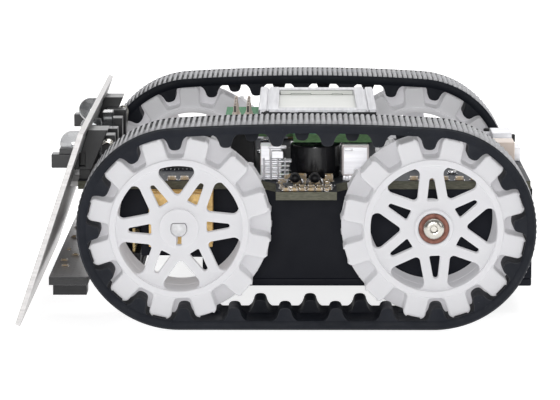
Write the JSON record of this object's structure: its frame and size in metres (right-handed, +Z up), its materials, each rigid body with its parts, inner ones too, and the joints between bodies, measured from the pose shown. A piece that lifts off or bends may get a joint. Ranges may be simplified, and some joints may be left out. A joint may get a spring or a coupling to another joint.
{
  "type": "tracked robot chassis",
  "caption": "Small robot chassis on two toothed rubber tracks, with white spoked sprockets, a control board with a display and a leaning steel front blade.",
  "frame": {"origin": "on the floor under the middle of the whole length and width", "axes": "+X forward towards the blade, +Y left, +Z up"},
  "size_m": [0.0974, 0.098, 0.0391],
  "materials": {
    "black_abs": "satin moulded ABS, lightly dusty",
    "white_abs": "smooth moulded ABS with soft rounded edges",
    "track_rubber": "soft silicone rubber, matt, finely ribbed outside",
    "board_mask": "dark solder mask over glass fibre",
    "display_mask": "green solder mask over glass fibre",
    "sensor_mask": "grey solder mask over glass fibre",
    "black_parts": "moulded epoxy and nylon",
    "gold_parts": "plated ends and ceramic bodies",
    "shield_metal": "tinned sheet, satin",
    "display_metal": "brushed tinned frame",
    "display_window": "pale display window",
    "blade_steel": "brushed stainless sheet",
    "screw_steel": "bright plated steel",
    "clear_resin": "clear moulded epoxy",
    "gear_brass": "machined brass, satin",
    "motor_steel": "drawn steel can",
    "shaft_steel": "ground steel",
    "bush_bronze": "oiled sintered bronze",
    "cream_nylon": "moulded cream nylon",
    "cell_wrap": "printed-free plastic wrap"
  },
  "bodies": {
    "chassis": {"chassis_body": "black_abs", "battery_cover": "black_abs", "battery_cells": "cell_wrap", "battery_contacts": "shield_metal", "main_board": "board_mask", "board_chips": "black_parts", "board_parts": "gold_parts", "side_emitters": "black_parts", "side_receivers": "shield_metal", "buzzer": "black_parts", "usb_port": "shield_metal", "board_plug": "cream_nylon", "power_switch_housing": "shield_metal", "button_housings": "shield_metal", "display_header": "black_parts", "display_board": "display_mask", "display_frame": "display_metal", "display_glass": "display_window", "front_sensor_board": "sensor_mask", "line_sensors": "black_parts", "header_strips": "black_parts", "header_pins": "gold_parts", "blade": "blade_steel", "blade_screws": "screw_steel", "blade_nuts": "screw_steel", "board_screws": "screw_steel", "lamp_holders": "black_parts", "front_lamps": "clear_resin", "lamp_leads": "shield_metal", "front_eye": "clear_resin", "front_shrouds": "black_parts", "front_uprights": "black_parts", "gearbox_left": "gear_brass", "gearbox_right": "gear_brass", "motor_left": "motor_steel", "motor_right": "motor_steel", "motor_caps": "black_parts", "idler_bushings": "bush_bronze", "idler_bolts": "screw_steel", "idler_nuts": "screw_steel", "track_left": "track_rubber", "track_right": "track_rubber"},
    "left_drive": {"drive_sprocket_left": "white_abs", "drive_shaft_left": "shaft_steel", "output_gear_left": "gear_brass"},
    "right_drive": {"drive_sprocket_right": "white_abs", "drive_shaft_right": "shaft_steel", "output_gear_right": "gear_brass"},
    "left_idler": {"idler_sprocket_left": "white_abs"},
    "right_idler": {"idler_sprocket_right": "white_abs"},
    "power_slider": {"power_switch_slider": "black_parts"},
    "cap_a": {"button_a": "black_parts"},
    "cap_b": {"button_b": "black_parts"},
    "cap_c": {"button_c": "black_parts"},
    "cap_reset": {"button_reset": "black_parts"}
  },
  "joints": [
    {"name": "left_drive_spin", "type": "hinge", "parent": "chassis", "child": "left_drive", "pos_m": [0.01815, 0.041, 0.0192], "axis": [0, 1, 0], "continuous": true, "deforming": ["track_left"]},
    {"name": "right_drive_spin", "type": "hinge", "parent": "chassis", "child": "right_drive", "pos_m": [0.01815, -0.041, 0.0192], "axis": [0, 1, 0], "continuous": true, "deforming": ["track_right"]},
    {"name": "left_idler_spin", "type": "hinge", "parent": "chassis", "child": "left_idler", "pos_m": [-0.02925, 0.041, 0.0192], "axis": [0, 1, 0], "continuous": true},
    {"name": "right_idler_spin", "type": "hinge", "parent": "chassis", "child": "right_idler", "pos_m": [-0.02925, -0.041, 0.0192], "axis": [0, 1, 0], "continuous": true},
    {"name": "power_switch_slide", "type": "slide", "parent": "chassis", "child": "power_slider", "axis": [0, 1, 0], "range_m": [0, 0.002]},
    {"name": "button_a_press", "type": "slide", "parent": "chassis", "child": "cap_a", "axis": [0, 0, -1], "range_m": [0, 0.00025], "stiffness_N_per_m": 2000, "springref_m": -0.0002},
    {"name": "button_b_press", "type": "slide", "parent": "chassis", "child": "cap_b", "axis": [0, 0, -1], "range_m": [0, 0.00025], "stiffness_N_per_m": 2000, "springref_m": -0.0002},
    {"name": "button_c_press", "type": "slide", "parent": "chassis", "child": "cap_c", "axis": [0, 0, -1], "range_m": [0, 0.00025], "stiffness_N_per_m": 2000, "springref_m": -0.0002},
    {"name": "button_reset_press", "type": "slide", "parent": "chassis", "child": "cap_reset", "axis": [0, 0, -1], "range_m": [0, 0.00025], "stiffness_N_per_m": 2000, "springref_m": -0.0002}
  ],
  "couplings": [
    {"joint": "left_idler_spin", "follows": "left_drive_spin", "ratio": 1},
    {"joint": "right_idler_spin", "follows": "right_drive_spin", "ratio": 1}
  ]
}
